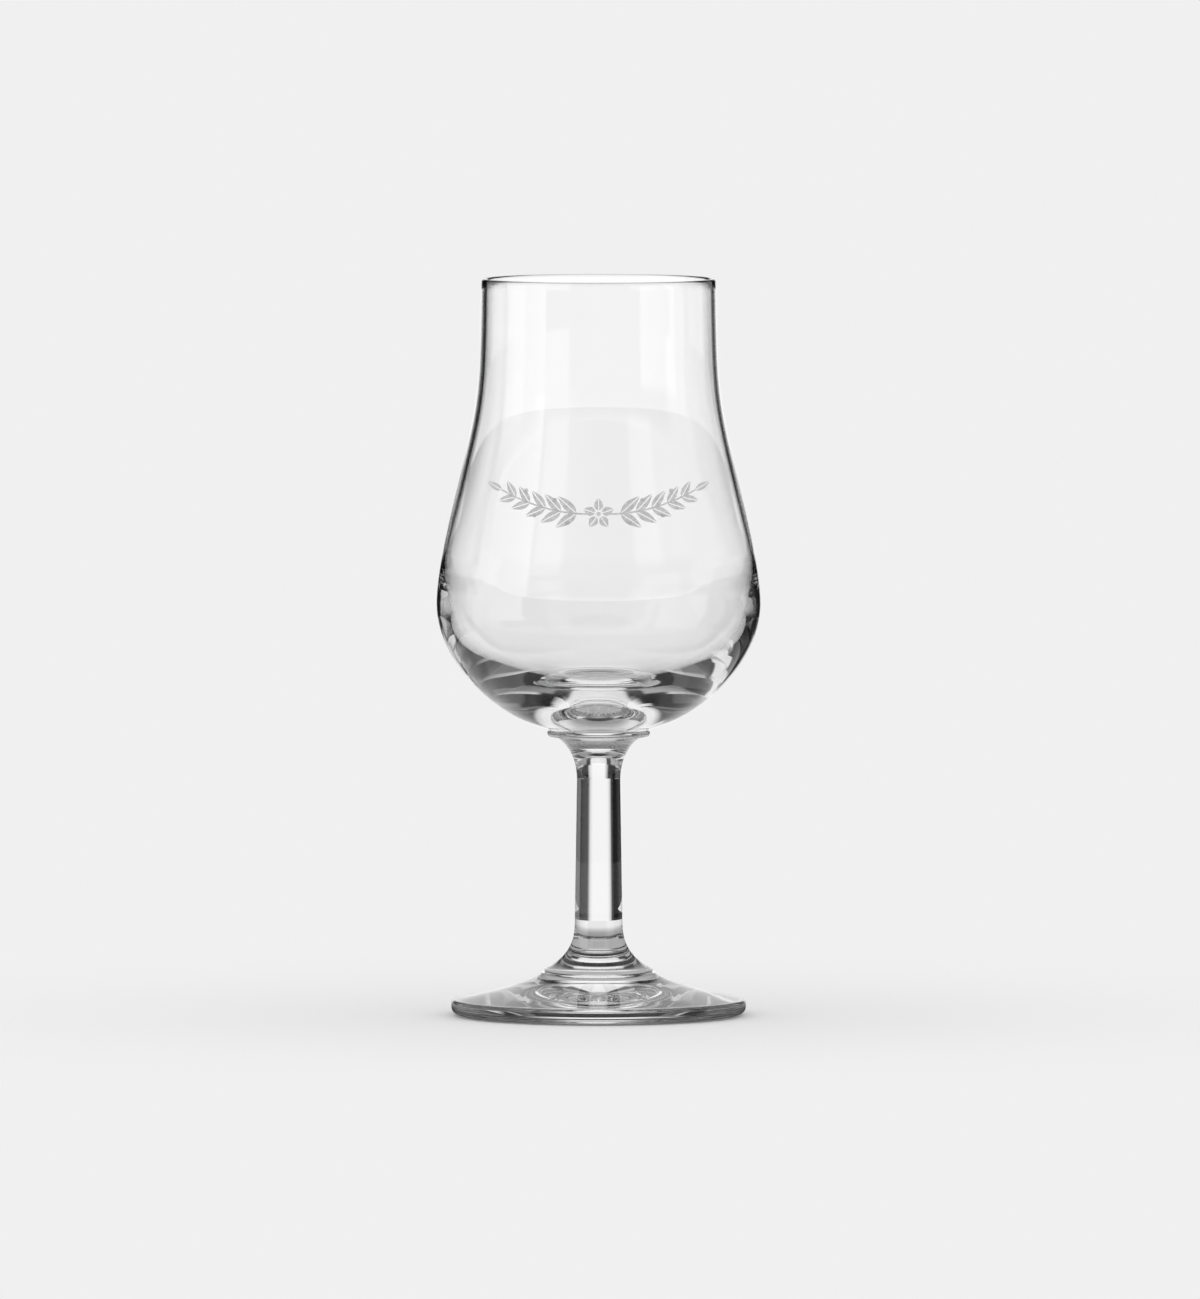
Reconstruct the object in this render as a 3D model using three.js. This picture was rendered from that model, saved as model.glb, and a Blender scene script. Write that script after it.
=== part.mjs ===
// Stemmed liqueur glass: a pressed foot, a solid stem, a round-edged collar and a blown bowl with a heavy base.
// The four pieces stand on one axis and are fused face to face. Millimetres, +Z up, origin on the table.
import * as THREE from 'three';

// Foot: a disc with a rounded edge, a conical top and a shallow hollow underneath
const FOOT_DIAMETER = 56;
const FOOT_HEIGHT = 8;
const FOOT_EDGE_HEIGHT = 2.9;
const FOOT_UNDER_ROUND = 2.2;
const FOOT_UNDER_ROUND_HEIGHT = 1.5;
const FOOT_TOP_ROUND = 0.8;
const FOOT_RING_WIDTH = 5;
const FOOT_HOLLOW_DEPTH = 0.9;
const FOOT_SEAT_MARGIN = 0.5;
const FOOT_EDGE_SLOPE = 12;
const FOOT_EDGE_REACH = 7.4;
const FOOT_SEAT_SLOPE = 45;
const FOOT_SEAT_REACH = 3;

// Stem: a thin flange and a skirt on the foot, a slightly tapered rod, and a head under the collar
const STEM_LENGTH = 44.9;
const STEM_LOWER_DIAMETER = 9.1;
const STEM_UPPER_DIAMETER = 8.3;
const FLANGE_DIAMETER = 20.6;
const FLANGE_THICKNESS = 0.8;
const FLANGE_LAND = 0.4;
const SKIRT_HEIGHT = 10.3;
const SKIRT_SLOPE = 30;
const SKIRT_REACH = 6.4;
const SKIRT_TOP_REACH = 3.6;
const HEAD_DIAMETER = 16.4;
const HEAD_HEIGHT = 8.5;
const HEAD_SLOPE = 31;
const HEAD_REACH = 2.8;
const HEAD_BASE_REACH = 4.5;

// Collar: a flat wafer with a half-round edge that stands proud of the stem's head and of the bowl's seat
const COLLAR_THICKNESS = 1.3;
const COLLAR_OVERHANG = 1.6;
const COLLAR_GROOVE = 1.5;

// Bowl outside: seat, full belly, straight flank and a neck that is almost upright at the rim
const BOWL_HEIGHT = 85.8;
const BOWL_DIAMETER = 61.6;
const BELLY_HEIGHT = 24;
const BELLY_LOWER_REACH = 12.2;
const BELLY_UPPER_REACH = 5;
const SEAT_SLOPE = 5.5;
const SEAT_REACH = 9;
const FLANK_DIAMETER = 52.2;
const FLANK_HEIGHT = 49.3;
const FLANK_LEAN = 13.8;
const FLANK_LOWER_REACH = 13;
const FLANK_UPPER_REACH = 14.6;
const RIM_DIAMETER = 44.6;
const RIM_LEAN = 1;
const NECK_REACH = 19.4;

// Bowl inside: the wall grows from the rim to the belly, and the floor lies over a thick base
const RIM_WALL = 1.1;
const FLANK_WALL = 1.2;
const BELLY_WALL = 1.3;
const BASE_THICKNESS = 5.9;
const INSIDE_BELLY_RISE = 4.5;
const INSIDE_BELLY_REACH = 17;
const FLOOR_REACH = 13.5;

// Facets: how many flats go round each piece, and how many steps each curve of an outline has
const BOWL_FLATS = 60;
const FOOT_FLATS = 60;
const STEM_FLATS = 40;
const COLLAR_FLATS = 40;
const BOWL_STEPS = 8;
const FOOT_STEPS = 4;
const STEM_STEPS = 6;
const COLLAR_STEPS = 6;

// Handle length, in radii, of the cubic that draws a half circle
const HALF_CIRCLE = 4 / 3;

// Places that more than one piece takes
const collarDiameter = HEAD_DIAMETER + 2 * COLLAR_OVERHANG;
const bowlSeatDiameter = collarDiameter - 2 * COLLAR_GROOVE;
const footSeatDiameter = FLANGE_DIAMETER + 2 * FOOT_SEAT_MARGIN;
const stemBase = FOOT_HEIGHT;
const collarBase = stemBase + STEM_LENGTH;
const bowlBase = collarBase + COLLAR_THICKNESS;

// A point at a distance from another, at an angle above the outward horizontal
function from(point, degrees, distance) {
  const angle = THREE.MathUtils.degToRad(degrees);
  return new THREE.Vector2(point.x + distance * Math.cos(angle), point.y + distance * Math.sin(angle));
}

function at(diameter, height) {
  return new THREE.Vector2(diameter / 2, height);
}

// An outline is drawn from the axis at the bottom, round the outside and back to the axis
class Outline extends THREE.Path {
  start(point) {
    this.moveTo(point.x, point.y);
    return this;
  }

  line(point) {
    this.lineTo(point.x, point.y);
    return this;
  }

  // A curve that leaves and arrives along two handles
  curve(handleOut, handleIn, point) {
    this.bezierCurveTo(handleOut.x, handleOut.y, handleIn.x, handleIn.y, point.x, point.y);
    return this;
  }

  // A rounded corner: the curve follows both sides of the corner
  round(corner, point) {
    this.quadraticCurveTo(corner.x, corner.y, point.x, point.y);
    return this;
  }
}

function clearGlass(colour) {
  return new THREE.MeshStandardMaterial({ color: colour, roughness: 0.04, metalness: 0 });
}

// Turns an outline round the axis and stands the piece at its height
function turned(name, outline, base, flats, steps, colour) {
  const geometry = new THREE.LatheGeometry(outline.getPoints(steps), flats);
  geometry.rotateX(Math.PI / 2);
  const piece = new THREE.Mesh(geometry, clearGlass(colour));
  piece.name = name;
  piece.position.z = base;
  return piece;
}

function makeFoot() {
  const restDiameter = FOOT_DIAMETER - 2 * FOOT_UNDER_ROUND;
  const hollowDiameter = restDiameter - 2 * FOOT_RING_WIDTH;
  const hollowTop = at(0, FOOT_HOLLOW_DEPTH);
  const edgeTop = at(FOOT_DIAMETER - 2 * FOOT_TOP_ROUND, FOOT_EDGE_HEIGHT);
  const seat = at(footSeatDiameter, FOOT_HEIGHT);
  const outline = new Outline()
    .start(hollowTop)
    .round(at(hollowDiameter / 2, FOOT_HOLLOW_DEPTH), at(hollowDiameter, 0))
    .line(at(restDiameter, 0))
    .round(at(FOOT_DIAMETER, 0), at(FOOT_DIAMETER, FOOT_UNDER_ROUND_HEIGHT))
    .line(at(FOOT_DIAMETER, FOOT_EDGE_HEIGHT - FOOT_TOP_ROUND))
    .round(at(FOOT_DIAMETER, FOOT_EDGE_HEIGHT), edgeTop)
    .curve(from(edgeTop, 180 - FOOT_EDGE_SLOPE, FOOT_EDGE_REACH), from(seat, -FOOT_SEAT_SLOPE, FOOT_SEAT_REACH), seat)
    .line(at(0, FOOT_HEIGHT));
  return turned('foot', outline, 0, FOOT_FLATS, FOOT_STEPS, '#dfe5e4');
}

function makeStem() {
  const skirtFoot = at(FLANGE_DIAMETER - 2 * FLANGE_LAND, FLANGE_THICKNESS);
  const skirtTop = at(STEM_LOWER_DIAMETER, FLANGE_THICKNESS + SKIRT_HEIGHT);
  const headBase = at(STEM_UPPER_DIAMETER, STEM_LENGTH - HEAD_HEIGHT);
  const headTop = at(HEAD_DIAMETER, STEM_LENGTH);
  const outline = new Outline()
    .start(at(0, 0))
    .line(at(FLANGE_DIAMETER, 0))
    .line(at(FLANGE_DIAMETER, FLANGE_THICKNESS))
    .line(skirtFoot)
    .curve(from(skirtFoot, 180 - SKIRT_SLOPE, SKIRT_REACH), from(skirtTop, -90, SKIRT_TOP_REACH), skirtTop)
    .line(headBase)
    .curve(from(headBase, 90, HEAD_BASE_REACH), from(headTop, 180 + HEAD_SLOPE, HEAD_REACH), headTop)
    .line(at(0, STEM_LENGTH));
  return turned('stem', outline, stemBase, STEM_FLATS, STEM_STEPS, '#e6ebea');
}

function makeCollar() {
  const edgeRadius = COLLAR_THICKNESS / 2;
  const lower = at(collarDiameter - COLLAR_THICKNESS, 0);
  const upper = at(collarDiameter - COLLAR_THICKNESS, COLLAR_THICKNESS);
  const outline = new Outline()
    .start(at(0, 0))
    .line(lower)
    .curve(from(lower, 0, HALF_CIRCLE * edgeRadius), from(upper, 0, HALF_CIRCLE * edgeRadius), upper)
    .line(at(0, COLLAR_THICKNESS));
  return turned('collar', outline, collarBase, COLLAR_FLATS, COLLAR_STEPS, '#dde3e2');
}

function makeBowl() {
  const seat = at(bowlSeatDiameter, 0);
  const belly = at(BOWL_DIAMETER, BELLY_HEIGHT);
  const flank = at(FLANK_DIAMETER, FLANK_HEIGHT);
  const rim = at(RIM_DIAMETER, BOWL_HEIGHT - RIM_WALL / 2);
  const insideRim = from(rim, 180, RIM_WALL);
  const insideFlank = from(flank, 180 - FLANK_LEAN, FLANK_WALL);
  const insideBelly = at(BOWL_DIAMETER - 2 * BELLY_WALL, BELLY_HEIGHT + INSIDE_BELLY_RISE);
  const floor = at(0, BASE_THICKNESS);
  const upFlank = 90 + FLANK_LEAN;
  const upRim = 90 + RIM_LEAN;
  const lipReach = HALF_CIRCLE * RIM_WALL / 2;
  const outline = new Outline()
    .start(at(0, 0))
    .line(seat)
    .curve(from(seat, SEAT_SLOPE, SEAT_REACH), from(belly, -90, BELLY_LOWER_REACH), belly)
    .curve(from(belly, 90, BELLY_UPPER_REACH), from(flank, upFlank, -FLANK_LOWER_REACH), flank)
    .curve(from(flank, upFlank, FLANK_UPPER_REACH), from(rim, upRim, -NECK_REACH), rim)
    .curve(from(rim, 90, lipReach), from(insideRim, 90, lipReach), insideRim)
    .curve(from(insideRim, upRim, -NECK_REACH), from(insideFlank, upFlank, FLANK_UPPER_REACH), insideFlank)
    .curve(from(insideFlank, upFlank, -FLANK_LOWER_REACH), from(insideBelly, 90, BELLY_UPPER_REACH), insideBelly)
    .curve(from(insideBelly, -90, INSIDE_BELLY_REACH), from(floor, 0, FLOOR_REACH), floor);
  return turned('bowl', outline, bowlBase, BOWL_FLATS, BOWL_STEPS, '#eef2f1');
}

const glass = new THREE.Group();
glass.name = 'liqueur_glass';
glass.add(makeFoot(), makeStem(), makeCollar(), makeBowl());

export default glass;
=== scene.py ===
# Looks of a stemmed liqueur glass: smooth turned glass, a frosted sprig, a pale floor and studio light
import math

import bpy
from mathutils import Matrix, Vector
from mathutils.geometry import interpolate_bezier


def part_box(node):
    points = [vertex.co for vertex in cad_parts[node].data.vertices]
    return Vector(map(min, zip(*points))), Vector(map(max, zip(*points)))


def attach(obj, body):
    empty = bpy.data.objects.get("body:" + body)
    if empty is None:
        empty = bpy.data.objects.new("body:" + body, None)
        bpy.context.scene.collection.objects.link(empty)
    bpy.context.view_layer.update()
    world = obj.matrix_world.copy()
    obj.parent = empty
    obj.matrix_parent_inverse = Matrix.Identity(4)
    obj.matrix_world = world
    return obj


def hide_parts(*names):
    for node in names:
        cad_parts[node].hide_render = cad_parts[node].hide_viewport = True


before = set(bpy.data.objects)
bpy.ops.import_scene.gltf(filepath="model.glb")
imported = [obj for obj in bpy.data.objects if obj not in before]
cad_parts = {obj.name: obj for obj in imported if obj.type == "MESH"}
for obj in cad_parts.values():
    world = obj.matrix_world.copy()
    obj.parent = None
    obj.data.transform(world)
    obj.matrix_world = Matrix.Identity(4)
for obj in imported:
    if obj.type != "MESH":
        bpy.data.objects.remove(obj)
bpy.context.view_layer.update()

MM = 0.001

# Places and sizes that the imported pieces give
foot_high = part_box("foot")[1]
stem_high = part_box("stem")[1]
collar_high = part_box("collar")[1]
bowl_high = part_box("bowl")[1]
FOOT_RADIUS, FOOT_TOP = foot_high.x, foot_high.z
FLANGE_RADIUS, STEM_TOP = stem_high.x, stem_high.z
COLLAR_RADIUS, COLLAR_TOP = collar_high.x, collar_high.z
BOWL_RADIUS, RIM_TOP = bowl_high.x, bowl_high.z

# Foot
FOOT_EDGE_HEIGHT = 2.9 * MM
FOOT_UNDER_ROUND = 2.2 * MM
FOOT_UNDER_ROUND_HEIGHT = 1.5 * MM
FOOT_TOP_ROUND = 0.8 * MM
FOOT_RING_WIDTH = 5 * MM
FOOT_HOLLOW_DEPTH = 0.9 * MM
FOOT_SEAT_MARGIN = 0.5 * MM
FOOT_EDGE_SLOPE = 12
FOOT_EDGE_REACH = 7.4 * MM
FOOT_SEAT_SLOPE = 45
FOOT_SEAT_REACH = 3 * MM

# Stem
STEM_LOWER_RADIUS = 4.55 * MM
STEM_UPPER_RADIUS = 4.15 * MM
FLANGE_THICKNESS = 0.8 * MM
FLANGE_LAND = 0.4 * MM
SKIRT_HEIGHT = 10.3 * MM
SKIRT_SLOPE = 30
SKIRT_REACH = 6.4 * MM
SKIRT_TOP_REACH = 3.6 * MM
HEAD_RADIUS = 8.2 * MM
HEAD_HEIGHT = 8.5 * MM
HEAD_SLOPE = 31
HEAD_REACH = 2.8 * MM
HEAD_BASE_REACH = 4.5 * MM

# Collar
COLLAR_GROOVE = 1.5 * MM

# Bowl
BELLY_HEIGHT = 24 * MM
BELLY_LOWER_REACH = 12.2 * MM
BELLY_UPPER_REACH = 5 * MM
SEAT_SLOPE = 5.5
SEAT_REACH = 9 * MM
FLANK_RADIUS = 26.1 * MM
FLANK_HEIGHT = 49.3 * MM
FLANK_LEAN = 13.8
FLANK_LOWER_REACH = 13 * MM
FLANK_UPPER_REACH = 14.6 * MM
RIM_RADIUS = 22.3 * MM
RIM_LEAN = 1
NECK_REACH = 19.4 * MM
RIM_WALL = 1.1 * MM
FLANK_WALL = 1.2 * MM
BELLY_WALL = 1.3 * MM
BASE_THICKNESS = 5.9 * MM
INSIDE_BELLY_RISE = 4.5 * MM
INSIDE_BELLY_REACH = 17 * MM
FLOOR_REACH = 13.5 * MM

# Frosted sprig on the front of the bowl: two mirrored branches with leaf pairs and berries, and a rosette
# between them. What grows along a branch has its place as a share of the branch's length.
SPRIG_HEIGHT = 98.5 * MM
SPRIG_START = 40 * MM
BRANCH_START = 1.9 * MM
BRANCH_LENGTH = 16.4 * MM
BRANCH_DROP = 1.9 * MM
BRANCH_RISE = 4.2 * MM
STALK_WIDTH = 0.32 * MM
STALK_STEPS = 20
LEAF_PLACES = (0.14, 0.32, 0.5, 0.68, 0.84)
LEAF_LENGTH, LEAF_LENGTH_LOSS = 5.0 * MM, 0.42
LEAF_HALF_WIDTH, LEAF_WIDTH_LOSS = 0.85 * MM, 0.35
LEAF_SPREAD = 38
LEAF_COLUMNS = 9
LEAF_BULGE = 0.8
MIDRIB = 0.1 * MM
BERRY_PLACES = (0.23, 0.41, 0.59, 0.76)
BERRY_REACH = 1.9 * MM
BERRY_RADIUS = 0.4 * MM
BERRY_SIDES = 16
PETALS = 5
PETAL_LENGTH, PETAL_HALF_WIDTH = 2.3 * MM, 0.75 * MM
PETAL_START = 0.65 * MM
SPRIG_LIFT = 0.02 * MM
SPRIG_THICKNESS = 0.03 * MM

# Fineness of the turned meshes
TURN_STEPS = 360
CURVE_STEPS = 32
ROUND_STEPS = 10
WELD = 1e-6
SHARP_ANGLE = math.radians(40)

# Handles of a cubic: in radii for a half circle, and as shares for a rounded corner and a straight line
HALF_CIRCLE = 4 / 3
QUADRATIC = 2 / 3
STRAIGHT = 1 / 3

# The photograph's camera: a long lens, a little above the rim, taken from the two ellipses of rim and foot
IMAGE_WIDTH, IMAGE_HEIGHT = 1200, 1299
PIXEL = 0.19 * MM
AXIS_COLUMN = 598.6
TABLE_ROW = 1015
CAMERA_DISTANCE = 3.88
CAMERA_HEIGHT = 0.291
CAMERA_SIGHT = 100
SENSOR = 36

# Most reflections and refractions that a light path through the glass takes
GLASS_BOUNCES = 40

# Clear glass, with the length and the depth of the faint waves that blowing leaves on the bowl and a mould
# leaves on the pressed pieces
GLASS_COLOUR = "#fdfdfd"
GLASS_IOR = 1.52
WAVE_DETAIL = 1.0
BLOWN_WAVE, BLOWN_DEPTH = 16 * MM, 0.008 * MM
PRESSED_WAVE, PRESSED_DEPTH = 7 * MM, 0.006 * MM

# Frosting: its grain, its two greys with their places in the grain, and its pits
FROST_GRAIN = 0.5 * MM
FROST_DETAIL = 2.0
FROST_DARK, FROST_DARK_PLACE = "#b4b4b4", 0.35
FROST_PALE, FROST_PALE_PLACE = "#cdcdcd", 0.65
FROST_PITS, FROST_PIT_STRENGTH = 0.02 * MM, 0.5
FROST_ROUGHNESS = 0.7
FROST_IOR = 1.5

# Floor under the glass: plain paper that fades into the even background between two distances from the axis
BACKGROUND = "#f0f0f0"
PAPER = "#f0f0f0"
FLOOR_RADIUS = 0.22
FLOOR_SIDES = 128
FLOOR_GAP = 0.2 * MM
FADE_START, FADE_END = 0.05, 0.2

# The floor as the glass sees it, a glow with painted shade: a grey centre of painted shade under the foot, a
# dark ring of painted shadow round the foot's edge, and further out levels by azimuth, with painted shade
# that makes it darker at the right and the front. Each zone has the distances where it begins and has taken
# over.
UNDER_FOOT_PAINTED_SHADE = 0.5
FAR_FLOOR_PAINTED_SHADE = ((-45, 1.0), (15, 1.0), (85, 0.5), (130, 0.9), (140, 0.9), (190, 0.5), (205, 0.5), (255, 1.0))
FLOOR_PAINTED_SHADE_ZONES = ((0.018, 0.024, 0.04), (0.034, 0.045, 0.4), (0.045, 0.13, FAR_FLOOR_PAINTED_SHADE))

# Studio round the glass, as light levels: FILL lights plain surfaces, and the rest shows in the glass alone.
# Walls have levels by azimuth in degrees, 0 straight behind and rising to the right from a seam.
# Behind the glass is a pale panel in a dark frame, which draws the thin dark lines along the bowl's walls.
FILL = 1.0
GROUND = 0.86
PALE = 0.87
SEAM_AZIMUTH = -50
BENCH_WALL = ((-50, 0.12), (-24, 0.15), (-22, 0.03), (-14, 0.03), (-11, 0.9), (11, 0.9), (14, 0.03),
              (22, 0.03), (24, 0.15), (50, 0.12), (75, 0.1), (85, 0.05), (112, 0.05), (120, 0.8),
              (150, 0.8), (157, 0.05), (250, 0.05), (259, PALE), (281, PALE), (288, 0.12))
LOW_WALL = ((-45, 0.6), (-39, 0.65), (-35, 0.02), (-19, 0.02), (-15, 0.3), (-12, 0.95), (-9, 1.1),
            (9, 1.1), (12, 0.95), (15, 0.3), (18, 0.02), (29, 0.02), (33, 0.65), (45, 0.6), (60, 0.5),
            (80, 0.3), (95, 0.0), (255, 0.0), (258, 0.05), (260, PALE), (280, PALE), (282, 0.05),
            (288, 0.05), (290, 0.5))
HIGH_WALL = ((-45, 0.35), (-24, 0.45), (-22, 0.05), (-15, 0.05), (-13, 0.8), (0, 0.92), (13, 0.88),
             (15, 0.05), (22, 0.05), (24, 0.3), (45, 0.2), (72, 0.2), (80, 0.1), (95, 0.02), (128, 0.02),
             (132, 0.6), (150, 0.6), (154, 0.02), (206, 0.02), (210, 0.6), (229, 0.6), (232, 0.05),
             (256, 0.05), (259, 0.2), (290, 0.2))
TOP_PANELS = ((-45, 0.3), (0, 0.4), (45, 0.3), (90, 0.3), (130, 0.4), (150, 0.85), (210, 0.85), (230, 0.4),
              (270, 0.3))
CEILING = 0.02

# Each zone above the ground: the elevations in degrees where it begins and has taken over, and its level
ZONES = ((-24, -18, BENCH_WALL), (-10.5, -7, LOW_WALL), (13, 18, HIGH_WALL), (45, 55, TOP_PANELS),
         (68, 74, CEILING))

# Two softboxes that show as highlights on the glass, each with its levels by azimuth and its lowest and
# highest elevation. They are weaker towards the back, where glass reflects more.
LEFT_LAMP = ((-50, 0.0), (232, 0.0), (234, 1.9), (272, 1.1), (274, 0.0))
RIGHT_LAMP = ((-50, 0.0), (100, 0.0), (102, 0.9), (138, 1.6), (140, 0.0))
LAMPS = ((LEFT_LAMP, -8, 45), (RIGHT_LAMP, -28, 7))
LAMP_EDGE = 2

# Two rings of dark cards round the glass, with pale gaps. The far one lies below the bowl and draws the dark
# bands in the stem, and the near one is level with the bowl's base and draws the dark crescents there.
STEM_RING_RADIUS, STEM_RING_LOW, STEM_RING_HIGH = 0.6, -0.06, 0.03
STEM_RING = ((-45, 0.01), (-25, 0.01), (-22, 0.6), (-17, 0.9), (-10, 1.0), (10, 1.0), (15, 0.8), (20, 0.01),
             (40, 0.01), (45, 0.2), (70, 0.2), (75, 0.05), (120, 0.05), (123, 0.8), (147, 0.8), (150, 0.05),
             (257, 0.05), (260, PALE), (280, PALE), (283, 0.02), (300, 0.02))
BASE_RING_RADIUS, BASE_RING_LOW, BASE_RING_HIGH = 0.25, 0.04, 0.105
BASE_RING = ((-45, 0.1), (-38, 0.08), (-36, 0.01), (-18, 0.01), (-14, 0.6), (-10, 1.0), (10, 1.0), (16, 0.7),
             (20, 0.01), (36, 0.01), (38, 0.08), (70, 0.08), (75, 0.02), (120, 0.02), (123, 0.8), (147, 0.8),
             (150, 0.02), (256, 0.02), (258, PALE), (282, PALE), (284, 0.02), (290, 0.08))
RING_SIDES = 256


def linear(code):
    """An sRGB hex colour as the linear RGBA that sockets take."""
    values = [int(code[i:i + 2], 16) / 255 for i in (1, 3, 5)]
    return [v / 12.92 if v <= 0.04045 else ((v + 0.055) / 1.055) ** 2.4 for v in values] + [1]


def add_node(tree, kind, settings=None, inputs=None):
    """Adds a node, sets its own settings, and sets or links its inputs."""
    node = tree.nodes.new(kind)
    for name, value in (settings or {}).items():
        setattr(node, name, value)
    for name, value in (inputs or {}).items():
        if isinstance(value, bpy.types.NodeSocket):
            tree.links.new(value, node.inputs[name])
        else:
            node.inputs[name].default_value = value
    return node


def new_material(name):
    material = bpy.data.materials.new(name)
    material.use_nodes = True
    material.node_tree.nodes.clear()
    return material, material.node_tree


def at(radius, height):
    return Vector((radius, height))


def reach(point, degrees, distance):
    """A point at a distance from another, at an angle above the outward horizontal."""
    angle = math.radians(degrees)
    return point + distance * Vector((math.cos(angle), math.sin(angle)))


def curve(start, handle_out, handle_in, end, steps=CURVE_STEPS):
    """Points of a cubic curve, without its start."""
    return interpolate_bezier(start, handle_out, handle_in, end, steps + 1)[1:]


def rounded(start, corner, end, steps=ROUND_STEPS):
    """Points of a rounded corner, without its start."""
    return curve(start, start.lerp(corner, QUADRATIC), end.lerp(corner, QUADRATIC), end, steps)


def straight(start, end):
    """Points along a straight stretch, without its start, so that its faces aren't long and thin."""
    return curve(start, start.lerp(end, STRAIGHT), end.lerp(start, STRAIGHT), end)


def draw_line(points):
    """A line of edges, left in edit mode: a plane merged to one vertex and extruded from point to point."""
    bpy.ops.object.select_all(action="DESELECT")
    bpy.ops.mesh.primitive_plane_add(size=MM)
    bpy.ops.object.mode_set(mode="EDIT")
    bpy.ops.mesh.select_all(action="SELECT")
    bpy.ops.mesh.merge(type="CENTER")
    bpy.ops.transform.translate(value=points[0])
    for here, there in zip(points, points[1:]):
        bpy.ops.mesh.extrude_region_move(TRANSFORM_OT_translate={"value": there - here})
    bpy.ops.mesh.select_all(action="SELECT")


def turned(name, outline):
    """Draws an outline that runs from axis to axis, and spins it once round the axis."""
    draw_line([Vector((point.x, 0, point.y)) for point in outline])
    bpy.ops.mesh.spin(steps=TURN_STEPS, angle=2 * math.pi, center=(0, 0, 0), axis=(0, 0, 1))
    bpy.ops.mesh.select_all(action="SELECT")
    bpy.ops.mesh.remove_doubles(threshold=WELD)
    bpy.ops.mesh.normals_make_consistent(inside=False)
    bpy.ops.object.mode_set(mode="OBJECT")
    bpy.ops.object.shade_smooth_by_angle(angle=SHARP_ANGLE)
    piece = bpy.context.object
    piece.name = name
    return piece


def dress(piece, glass, joints):
    """Gives a piece its glass, and the fused joint to the faces inside each joint's height and radius."""
    piece.data.materials.append(glass)
    piece.data.materials.append(fused_joint)
    for face in piece.data.polygons:
        inside = math.hypot(face.center.x, face.center.y)
        for height, radius in joints:
            if abs(face.center.z - height) < WELD and inside < radius:
                face.material_index = 1


def make_foot():
    rest = at(FOOT_RADIUS - FOOT_UNDER_ROUND, 0)
    hollow = reach(rest, 180, FOOT_RING_WIDTH)
    hollow_top = at(0, FOOT_HOLLOW_DEPTH)
    under_end = at(FOOT_RADIUS, FOOT_UNDER_ROUND_HEIGHT)
    edge = at(FOOT_RADIUS, FOOT_EDGE_HEIGHT - FOOT_TOP_ROUND)
    edge_top = at(FOOT_RADIUS - FOOT_TOP_ROUND, FOOT_EDGE_HEIGHT)
    seat = at(FLANGE_RADIUS + FOOT_SEAT_MARGIN, FOOT_TOP)
    outline = [hollow_top]
    outline += rounded(hollow_top, at(hollow.x / 2, FOOT_HOLLOW_DEPTH), hollow)
    outline += [rest]
    outline += rounded(rest, at(FOOT_RADIUS, 0), under_end)
    outline += [edge]
    outline += rounded(edge, at(FOOT_RADIUS, FOOT_EDGE_HEIGHT), edge_top)
    outline += curve(edge_top, reach(edge_top, 180 - FOOT_EDGE_SLOPE, FOOT_EDGE_REACH),
                     reach(seat, -FOOT_SEAT_SLOPE, FOOT_SEAT_REACH), seat)
    outline += [at(FLANGE_RADIUS, FOOT_TOP), at(0, FOOT_TOP)]
    return turned("foot_glass", outline)


def make_stem():
    skirt = at(FLANGE_RADIUS - FLANGE_LAND, FOOT_TOP + FLANGE_THICKNESS)
    skirt_top = at(STEM_LOWER_RADIUS, skirt.y + SKIRT_HEIGHT)
    head_base = at(STEM_UPPER_RADIUS, STEM_TOP - HEAD_HEIGHT)
    head_top = at(HEAD_RADIUS, STEM_TOP)
    outline = [at(0, FOOT_TOP), at(FLANGE_RADIUS, FOOT_TOP), at(FLANGE_RADIUS, skirt.y), skirt]
    outline += curve(skirt, reach(skirt, 180 - SKIRT_SLOPE, SKIRT_REACH),
                     reach(skirt_top, -90, SKIRT_TOP_REACH), skirt_top)
    outline += straight(skirt_top, head_base)
    outline += curve(head_base, reach(head_base, 90, HEAD_BASE_REACH),
                     reach(head_top, 180 + HEAD_SLOPE, HEAD_REACH), head_top)
    outline += [at(0, STEM_TOP)]
    return turned("stem_glass", outline)


def make_collar():
    edge_radius = (COLLAR_TOP - STEM_TOP) / 2
    lower = at(COLLAR_RADIUS - edge_radius, STEM_TOP)
    upper = at(COLLAR_RADIUS - edge_radius, COLLAR_TOP)
    outline = [at(0, STEM_TOP), at(HEAD_RADIUS, STEM_TOP), lower]
    outline += curve(lower, reach(lower, 0, HALF_CIRCLE * edge_radius),
                     reach(upper, 0, HALF_CIRCLE * edge_radius), upper)
    outline += [at(COLLAR_RADIUS - COLLAR_GROOVE, COLLAR_TOP), at(0, COLLAR_TOP)]
    return turned("collar_glass", outline)


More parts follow.
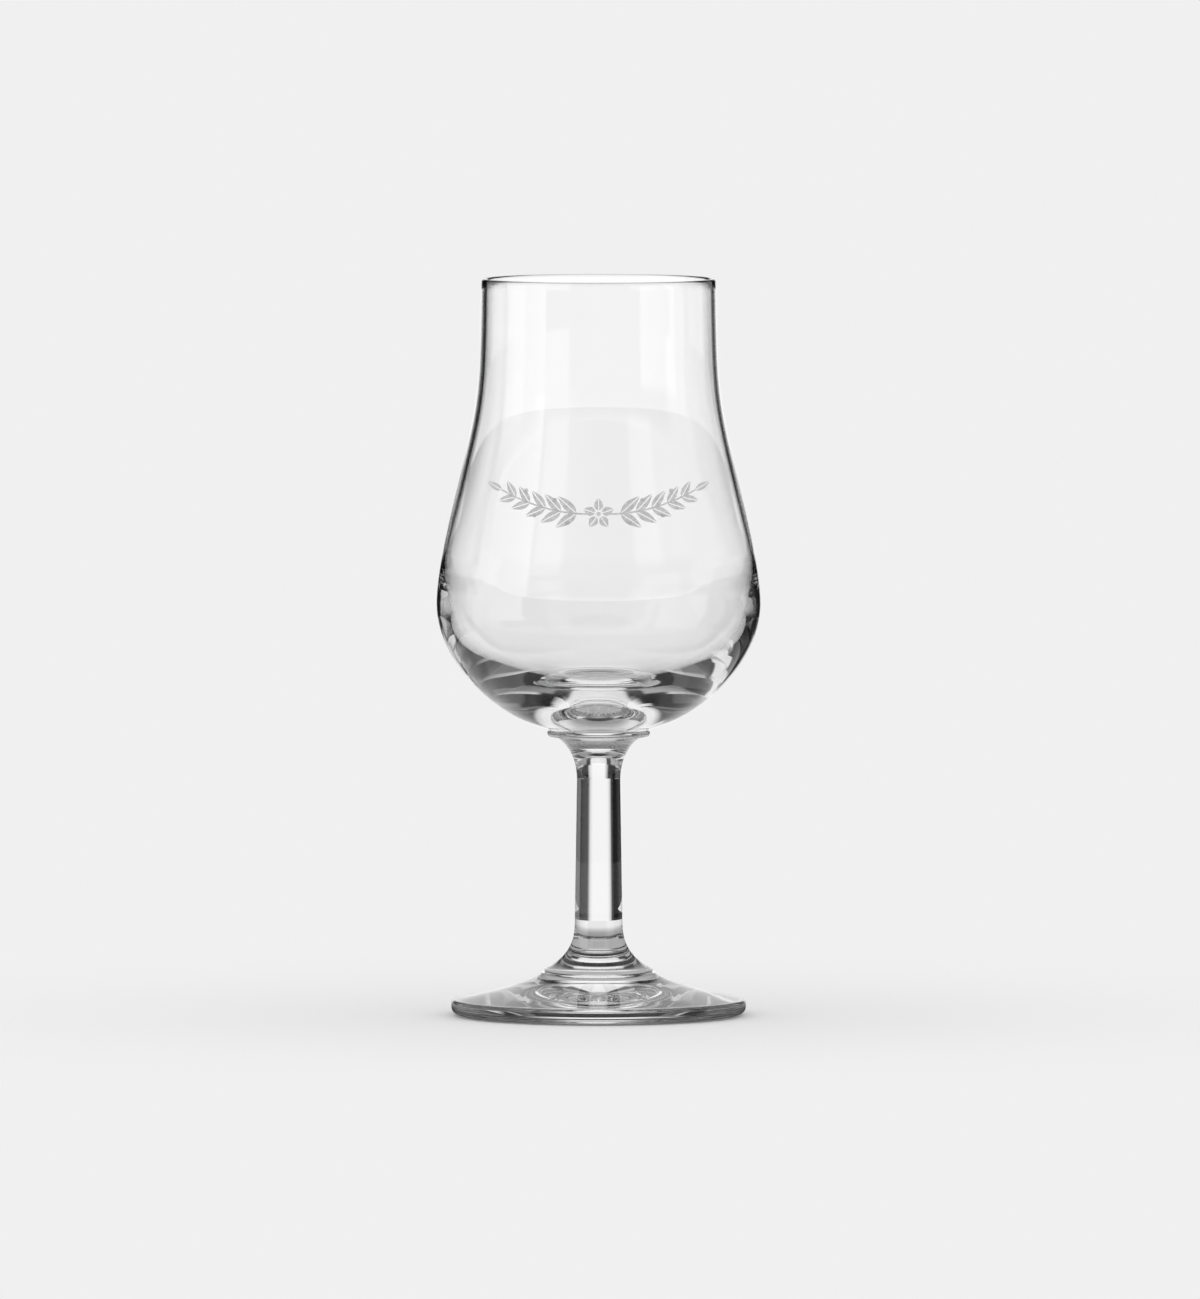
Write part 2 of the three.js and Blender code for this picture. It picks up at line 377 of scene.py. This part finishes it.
def make_bowl():
    seat = at(COLLAR_RADIUS - COLLAR_GROOVE, COLLAR_TOP)
    belly = at(BOWL_RADIUS, COLLAR_TOP + BELLY_HEIGHT)
    flank = at(FLANK_RADIUS, COLLAR_TOP + FLANK_HEIGHT)
    rim = at(RIM_RADIUS, RIM_TOP - RIM_WALL / 2)
    inside_rim = reach(rim, 180, RIM_WALL)
    inside_flank = reach(flank, 180 - FLANK_LEAN, FLANK_WALL)
    inside_belly = at(BOWL_RADIUS - BELLY_WALL, belly.y + INSIDE_BELLY_RISE)
    floor = at(0, COLLAR_TOP + BASE_THICKNESS)
    up_flank = 90 + FLANK_LEAN
    up_rim = 90 + RIM_LEAN
    lip_reach = HALF_CIRCLE * RIM_WALL / 2
    outline = [at(0, COLLAR_TOP), seat]
    outline += curve(seat, reach(seat, SEAT_SLOPE, SEAT_REACH),
                     reach(belly, -90, BELLY_LOWER_REACH), belly)
    outline += curve(belly, reach(belly, 90, BELLY_UPPER_REACH),
                     reach(flank, up_flank, -FLANK_LOWER_REACH), flank)
    outline += curve(flank, reach(flank, up_flank, FLANK_UPPER_REACH),
                     reach(rim, up_rim, -NECK_REACH), rim)
    outline += curve(rim, reach(rim, 90, lip_reach),
                     reach(inside_rim, 90, lip_reach), inside_rim, ROUND_STEPS)
    outline += curve(inside_rim, reach(inside_rim, up_rim, -NECK_REACH),
                     reach(inside_flank, up_flank, FLANK_UPPER_REACH), inside_flank)
    outline += curve(inside_flank, reach(inside_flank, up_flank, -FLANK_LOWER_REACH),
                     reach(inside_belly, 90, BELLY_UPPER_REACH), inside_belly)
    outline += curve(inside_belly, reach(inside_belly, -90, INSIDE_BELLY_REACH),
                     reach(floor, 0, FLOOR_REACH), floor)
    return turned("bowl_glass", outline)


def copy_of(piece):
    """A copy with its own mesh, which alone is selected and active."""
    bpy.ops.object.select_all(action="DESELECT")
    piece.select_set(True)
    bpy.context.view_layer.objects.active = piece
    bpy.ops.object.duplicate()
    return bpy.context.object


def joined(pieces):
    bpy.ops.object.select_all(action="DESELECT")
    for piece in pieces:
        piece.select_set(True)
    bpy.context.view_layer.objects.active = pieces[0]
    bpy.ops.object.join()
    return pieces[0]


def half_leaf():
    """A half leaf one unit long and wide: a grid whose columns are narrowed to the leaf's curved edge."""
    bpy.ops.object.select_all(action="DESELECT")
    bpy.ops.mesh.primitive_grid_add(x_subdivisions=LEAF_COLUMNS, y_subdivisions=2, size=1,
                                    location=(0.5, 0.5, 0))
    bpy.ops.object.transform_apply(location=True)
    leaf = bpy.context.object
    half_column = 0.5 / LEAF_COLUMNS
    for column in range(LEAF_COLUMNS + 1):
        along = column / LEAF_COLUMNS
        bpy.ops.object.mode_set(mode="EDIT")
        bpy.ops.mesh.select_all(action="DESELECT")
        bpy.ops.object.mode_set(mode="OBJECT")
        for vertex in leaf.data.vertices:
            vertex.select = abs(vertex.co.x - along) < half_column
        width = math.sin(math.pi * along ** LEAF_BULGE)
        bpy.ops.object.mode_set(mode="EDIT")
        bpy.ops.transform.resize(value=(1, width, 1), center_override=(along, 0, 0))
        bpy.ops.object.mode_set(mode="OBJECT")
    bpy.ops.object.mode_set(mode="EDIT")
    bpy.ops.mesh.select_all(action="SELECT")
    bpy.ops.mesh.remove_doubles(threshold=WELD)
    bpy.ops.object.mode_set(mode="OBJECT")
    return leaf


def place_leaf(template, start, degrees, length, half_width):
    """Two halves of a leaf on both sides of a clear midrib."""
    angle = math.radians(degrees)
    across = Vector((-math.sin(angle), math.cos(angle)))
    halves = []
    for side in (1, -1):
        half = copy_of(template)
        half.location = (*(start + side * MIDRIB * across), 0)
        half.rotation_euler.z = angle
        half.scale = (length, side * half_width, 1)
        bpy.ops.object.transform_apply(location=True, rotation=True, scale=True)
        halves.append(half)
    return halves


def make_disc(place):
    bpy.ops.object.select_all(action="DESELECT")
    bpy.ops.mesh.primitive_circle_add(vertices=BERRY_SIDES, radius=BERRY_RADIUS, fill_type="TRIFAN",
                                      location=(*place, 0))
    bpy.ops.object.transform_apply(location=True)
    return bpy.context.object


def on_branch(along):
    """The place on the branch, and the direction that it runs in there, in degrees."""
    place = Vector((BRANCH_START + BRANCH_LENGTH * along, BRANCH_RISE * along ** 2 - BRANCH_DROP))
    return place, math.degrees(math.atan2(2 * BRANCH_RISE * along, BRANCH_LENGTH))


def make_stalk():
    """A thin ribbon along the branch: its lower edge is drawn and then extruded upwards."""
    places = [on_branch(step / STALK_STEPS)[0] for step in range(STALK_STEPS + 1)]
    draw_line([Vector((place.x, place.y - STALK_WIDTH / 2, 0)) for place in places])
    bpy.ops.mesh.extrude_region_move(TRANSFORM_OT_translate={"value": (0, STALK_WIDTH, 0)})
    bpy.ops.object.mode_set(mode="OBJECT")
    return bpy.context.object


def make_branch(template):
    """A stalk with pairs of leaves that get smaller to its tip, and berries on alternate sides."""
    pieces = [make_stalk()]
    for along in LEAF_PLACES:
        place, heading = on_branch(along)
        length = LEAF_LENGTH * (1 - LEAF_LENGTH_LOSS * along)
        half_width = LEAF_HALF_WIDTH * (1 - LEAF_WIDTH_LOSS * along)
        for side in (1, -1):
            pieces += place_leaf(template, place, heading + side * LEAF_SPREAD, length, half_width)
    tip, heading = on_branch(1)
    pieces += place_leaf(template, tip, heading, LEAF_LENGTH * (1 - LEAF_LENGTH_LOSS),
                         LEAF_HALF_WIDTH * (1 - LEAF_WIDTH_LOSS))
    for index, along in enumerate(BERRY_PLACES):
        place, heading = on_branch(along)
        sideways = 90 if index % 2 else -90
        pieces.append(make_disc(reach(place, heading + sideways, BERRY_REACH)))
    return joined(pieces)


def make_rosette(template):
    """A round heart with petals about it."""
    heart = Vector((0, -BRANCH_DROP))
    pieces = [make_disc(heart)]
    for petal in range(PETALS):
        heading = 90 + 360 * petal / PETALS
        start = reach(heart, heading, PETAL_START)
        pieces += place_leaf(template, start, heading, PETAL_LENGTH, PETAL_HALF_WIDTH)
    return pieces


def draw_sprig():
    """The sprig drawn flat, with all its faces turned up."""
    template = half_leaf()
    right = make_branch(template)
    left = copy_of(right)
    left.scale.x = -1
    bpy.ops.object.transform_apply(scale=True)
    pieces = [right, left] + make_rosette(template)
    bpy.data.objects.remove(template)
    sprig = joined(pieces)
    bpy.ops.object.mode_set(mode="EDIT")
    bpy.ops.mesh.select_all(action="DESELECT")
    bpy.ops.object.mode_set(mode="OBJECT")
    for face in sprig.data.polygons:
        face.select = face.normal.z < 0
    bpy.ops.object.mode_set(mode="EDIT")
    bpy.ops.mesh.flip_normals()
    bpy.ops.object.mode_set(mode="OBJECT")
    return sprig


def make_sprig(bowl):
    """Drawn flat, turned upright, wrapped onto the bowl and given the thickness of a frosted skin."""
    sprig = draw_sprig()
    sprig.name = "frosted_sprig"
    sprig.rotation_euler.x = math.pi / 2
    sprig.location = (0, -SPRIG_START, SPRIG_HEIGHT)
    bpy.ops.object.transform_apply(location=True, rotation=True)
    wrap = sprig.modifiers.new("wrap", "SHRINKWRAP")
    wrap.target = bowl
    wrap.wrap_method = "PROJECT"
    wrap.wrap_mode = "ABOVE_SURFACE"
    wrap.use_project_y = True
    wrap.use_positive_direction = True
    wrap.offset = SPRIG_LIFT
    skin = sprig.modifiers.new("skin", "SOLIDIFY")
    skin.thickness = SPRIG_THICKNESS
    skin.offset = 1
    for name in ("wrap", "skin"):
        bpy.ops.object.modifier_apply(modifier=name)
    return sprig


def make_clear_glass(name, wave, depth):
    """Clear soda-lime glass whose surface waves a little: wave across, and depth from hollow to crest."""
    material, tree = new_material(name)
    place = add_node(tree, "ShaderNodeTexCoord").outputs["Object"]
    waves = add_node(tree, "ShaderNodeTexNoise", inputs={
        "Vector": place, "Scale": 1 / wave, "Detail": WAVE_DETAIL})
    ripple = add_node(tree, "ShaderNodeBump", inputs={
        "Height": waves.outputs["Fac"], "Distance": depth, "Strength": 1.0})
    glass = add_node(tree, "ShaderNodeBsdfPrincipled", inputs={
        "Base Color": linear(GLASS_COLOUR), "Roughness": 0.0, "IOR": GLASS_IOR, "Transmission Weight": 1.0,
        "Normal": ripple.outputs["Normal"]})
    add_node(tree, "ShaderNodeOutputMaterial", inputs={"Surface": glass.outputs["BSDF"]})
    return material


def make_frosting():
    """A matt grey grain. Real grit of about 0.1 mm is drawn five times as coarse, so that it shows."""
    material, tree = new_material("sandblasted_glass")
    place = add_node(tree, "ShaderNodeTexCoord").outputs["Object"]
    grit = add_node(tree, "ShaderNodeTexNoise", inputs={
        "Vector": place, "Scale": 1 / FROST_GRAIN, "Detail": FROST_DETAIL})
    tone = add_node(tree, "ShaderNodeValToRGB", inputs={"Fac": grit.outputs["Fac"]})
    dark, pale = tone.color_ramp.elements
    dark.position, dark.color = FROST_DARK_PLACE, linear(FROST_DARK)
    pale.position, pale.color = FROST_PALE_PLACE, linear(FROST_PALE)
    pits = add_node(tree, "ShaderNodeBump", inputs={
        "Height": grit.outputs["Fac"], "Distance": FROST_PITS, "Strength": FROST_PIT_STRENGTH})
    skin = add_node(tree, "ShaderNodeBsdfPrincipled", inputs={
        "Base Color": tone.outputs["Color"], "Roughness": FROST_ROUGHNESS, "IOR": FROST_IOR,
        "Normal": pits.outputs["Normal"]})
    add_node(tree, "ShaderNodeOutputMaterial", inputs={"Surface": skin.outputs["BSDF"]})
    return material


def make_fused_joint():
    material, tree = new_material("fused_glass_joint")
    clear = add_node(tree, "ShaderNodeBsdfTransparent")
    add_node(tree, "ShaderNodeOutputMaterial", inputs={"Surface": clear.outputs["BSDF"]})
    return material


def place_camera():
    """The sensor's width spans the picture's longer side, which is its height."""
    camera = bpy.data.objects.new("camera", bpy.data.cameras.new("camera"))
    bpy.context.scene.collection.objects.link(camera)
    aim = Vector(((IMAGE_WIDTH / 2 - AXIS_COLUMN) * PIXEL, 0, (TABLE_ROW - IMAGE_HEIGHT / 2) * PIXEL))
    camera.location = (aim.x, -CAMERA_DISTANCE, CAMERA_HEIGHT)
    sight = aim - camera.location
    camera.rotation_euler = sight.to_track_quat("-Z", "Y").to_euler()
    camera.data.sensor_width = SENSOR
    camera.data.lens = SENSOR * sight.length / (IMAGE_HEIGHT * PIXEL)
    camera.data.clip_end = CAMERA_SIGHT
    bpy.context.scene.camera = camera


def seen_in_glass(tree):
    """1 for rays that come by way of the glass, and 0 for all others."""
    rays = add_node(tree, "ShaderNodeLightPath").outputs
    either = add_node(tree, "ShaderNodeMath", {"operation": "MAXIMUM"}, {
        0: rays["Is Glossy Ray"], 1: rays["Is Transmission Ray"]})
    return either.outputs["Value"]


def wall(tree, direction, levels, blend="LINEAR"):
    """A wall all round, with its level at some azimuths. The gradient node runs the other way round."""
    turned_to_seam = add_node(tree, "ShaderNodeMapping", inputs={
        "Vector": direction, "Rotation": (0, 0, math.radians(90 + SEAM_AZIMUTH))})
    around = add_node(tree, "ShaderNodeTexGradient", {"gradient_type": "RADIAL"}, {
        "Vector": turned_to_seam.outputs["Vector"]})
    ramp = add_node(tree, "ShaderNodeValToRGB", inputs={"Fac": around.outputs["Fac"]})
    ramp.color_ramp.interpolation = blend
    while len(ramp.color_ramp.elements) < len(levels):
        ramp.color_ramp.elements.new(1)
    for element, (azimuth, level) in zip(ramp.color_ramp.elements, reversed(levels)):
        element.position = 1 - (azimuth - SEAM_AZIMUTH) / 360
        element.color = (level, level, level, 1)
    return ramp.outputs["Color"]


def zoned(tree, direction, along, level, zones, blend="LINEAR"):
    """A level that goes over to each zone's own level or wall between two places along a measure."""
    for start, end, beyond in zones:
        if isinstance(beyond, tuple):
            beyond = wall(tree, direction, beyond, blend)
        share = add_node(tree, "ShaderNodeMapRange", {"interpolation_type": "SMOOTHSTEP"}, {
            "Value": along, "From Min": start, "From Max": end})
        level = add_node(tree, "ShaderNodeMix", inputs={
            "Factor": share.outputs["Result"], "A": level, "B": beyond}).outputs["Result"]
    return level


def sines(zones):
    """Zones by elevation in degrees, as zones by height on a sphere of radius 1."""
    return [(math.sin(math.radians(low)), math.sin(math.radians(high)), level) for low, high, level in zones]


def with_lamp(tree, level, lamp):
    """Adds a lamp to what shines off the glass, but not to what is seen through it."""
    mirrored = add_node(tree, "ShaderNodeMath", {"operation": "MULTIPLY"}, {
        0: lamp, 1: add_node(tree, "ShaderNodeLightPath").outputs["Is Reflection Ray"]})
    return add_node(tree, "ShaderNodeMath", {"operation": "MAXIMUM"}, {
        0: level, 1: mirrored.outputs["Value"]}).outputs["Value"]


def studio_levels(tree, direction):
    """What the glass sees: the pale ground, the zones of the studio above it, and the lamps."""
    height = add_node(tree, "ShaderNodeSeparateXYZ", inputs={"Vector": direction}).outputs["Z"]
    level = zoned(tree, direction, height, GROUND, sines(ZONES))
    for lamp, low, high in LAMPS:
        zones = ((low - LAMP_EDGE, low + LAMP_EDGE, lamp), (high - LAMP_EDGE, high + LAMP_EDGE, 0.0))
        level = with_lamp(tree, level, zoned(tree, direction, height, 0.0, sines(zones)))
    return level


def light_world():
    """Even light for plain surfaces, the plain background for the camera, and the studio for the glass."""
    world = bpy.data.worlds.new("studio")
    bpy.context.scene.world = world
    world.use_nodes = True
    tree = world.node_tree
    tree.nodes.clear()
    direction = add_node(tree, "ShaderNodeTexCoord").outputs["Generated"]
    levels = studio_levels(tree, direction)
    plain = add_node(tree, "ShaderNodeMix", inputs={
        "Factor": add_node(tree, "ShaderNodeLightPath").outputs["Is Camera Ray"],
        "A": FILL, "B": linear(BACKGROUND)[0]})
    level = add_node(tree, "ShaderNodeMix", inputs={
        "Factor": seen_in_glass(tree), "A": plain.outputs["Result"], "B": levels})
    shade = add_node(tree, "ShaderNodeBackground", inputs={"Color": level.outputs["Result"], "Strength": 1.0})
    add_node(tree, "ShaderNodeOutputWorld", inputs={"Surface": shade.outputs["Background"]})


def make_paper():
    """Matt paper near the glass, where it takes the shadow, and an even glow further out. The glass sees a
    glow with painted shade: grey under the foot, a dark ring of painted shadow round its edge, and darker at
    the right and the front.
    """
    material, tree = new_material("matt_white_paper")
    place = add_node(tree, "ShaderNodeTexCoord").outputs["Object"]
    distance = add_node(tree, "ShaderNodeVectorMath", {"operation": "LENGTH"}, {0: place}).outputs["Value"]
    to_camera = add_node(tree, "ShaderNodeLightPath").outputs["Is Camera Ray"]
    # The floor's glow as the glass sees it, with painted shade under the foot, a painted shadow round its
    # edge and painted shade at the sides
    in_glass = zoned(tree, place, distance, UNDER_FOOT_PAINTED_SHADE, FLOOR_PAINTED_SHADE_ZONES, "EASE")
    strength = add_node(tree, "ShaderNodeMix", inputs={"Factor": to_camera, "A": in_glass, "B": 1.0})
    paper = add_node(tree, "ShaderNodeBsdfDiffuse", inputs={"Color": linear(PAPER)})
    even = add_node(tree, "ShaderNodeEmission", inputs={
        "Color": linear(BACKGROUND), "Strength": strength.outputs["Result"]})
    far = add_node(tree, "ShaderNodeMapRange", {"interpolation_type": "SMOOTHSTEP"}, {
        "Value": distance, "From Min": FADE_START, "From Max": FADE_END})
    seen_far = add_node(tree, "ShaderNodeMath", {"operation": "MULTIPLY"}, {
        0: far.outputs["Result"], 1: to_camera})
    share = add_node(tree, "ShaderNodeMath", {"operation": "MAXIMUM"}, {
        0: seen_far.outputs["Value"], 1: seen_in_glass(tree)})
    mix = add_node(tree, "ShaderNodeMixShader", inputs={
        "Fac": share.outputs["Value"], 1: paper.outputs["BSDF"], 2: even.outputs["Emission"]})
    add_node(tree, "ShaderNodeOutputMaterial", inputs={"Surface": mix.outputs["Shader"]})
    return material


def make_floor():
    bpy.ops.object.select_all(action="DESELECT")
    bpy.ops.mesh.primitive_circle_add(vertices=FLOOR_SIDES, radius=FLOOR_RADIUS, fill_type="NGON",
                                      location=(0, 0, -FLOOR_GAP))
    floor = bpy.context.object
    floor.name = "floor"
    floor.data.materials.append(make_paper())


def make_cards(name, levels):
    """Cards with levels by azimuth, over which the lamps shine as well."""
    material, tree = new_material(name)
    place = add_node(tree, "ShaderNodeTexCoord").outputs["Object"]
    level = wall(tree, place, levels)
    for lamp, _, _ in LAMPS:
        level = with_lamp(tree, level, wall(tree, place, lamp))
    card = add_node(tree, "ShaderNodeEmission", inputs={"Color": level, "Strength": 1.0})
    add_node(tree, "ShaderNodeOutputMaterial", inputs={"Surface": card.outputs["Emission"]})
    return material


def make_ring(name, radius, low, high, levels):
    """A ring of cards that only the glass sees: no camera shows it, and it shades nothing."""
    bpy.ops.object.select_all(action="DESELECT")
    bpy.ops.mesh.primitive_cylinder_add(vertices=RING_SIDES, radius=radius, depth=high - low,
                                        end_fill_type="NOTHING", location=(0, 0, (low + high) / 2))
    ring = bpy.context.object
    ring.name = name
    ring.data.materials.append(make_cards(name, levels))
    ring.visible_camera = False
    ring.visible_diffuse = False
    ring.visible_shadow = False


def set_light_paths():
    """Long light paths, because light runs along the inside of thick glass before it comes out."""
    paths = bpy.context.scene.cycles
    paths.max_bounces = GLASS_BOUNCES
    paths.glossy_bounces = GLASS_BOUNCES
    paths.transmission_bounces = GLASS_BOUNCES


# Fused joint: the glass has melted together, so the eye finds no seam inside it
fused_joint = make_fused_joint()
# Blown glass: a bright, even surface with long soft waves, so that highlights run smoothly down the bowl
blown_glass = make_clear_glass("blown_soda_lime_glass", BLOWN_WAVE, BLOWN_DEPTH)
# Pressed glass: the mould leaves shorter waves, so that the lines in stem and foot waver a little
pressed_glass = make_clear_glass("pressed_soda_lime_glass", PRESSED_WAVE, PRESSED_DEPTH)
# Sandblasted glass: the grit leaves a pale matt grey that stands out from the clear bowl
sandblasted_glass = make_frosting()

bowl = make_bowl()
collar = make_collar()
stem = make_stem()
foot = make_foot()
seat_joint = (COLLAR_TOP, COLLAR_RADIUS - COLLAR_GROOVE)
head_joint = (STEM_TOP, HEAD_RADIUS)
foot_joint = (FOOT_TOP, FLANGE_RADIUS)
dress(bowl, blown_glass, [seat_joint])
dress(collar, pressed_glass, [seat_joint, head_joint])
dress(stem, pressed_glass, [head_joint, foot_joint])
dress(foot, pressed_glass, [foot_joint])
for piece, node, slot in ((bowl, "bowl", "blown_glass"), (collar, "collar", "pressed_glass"),
                          (stem, "stem", "pressed_glass"), (foot, "foot", "pressed_glass")):
    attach(piece, "root")
    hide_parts(node)

sprig = make_sprig(bowl)
sprig.data.materials.append(sandblasted_glass)
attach(sprig, "root")

place_camera()
make_floor()
make_ring("stem_cards", STEM_RING_RADIUS, STEM_RING_LOW, STEM_RING_HIGH, STEM_RING)
make_ring("base_cards", BASE_RING_RADIUS, BASE_RING_LOW, BASE_RING_HIGH, BASE_RING)
light_world()
bpy.context.scene.view_settings.view_transform = "Standard"
set_light_paths()
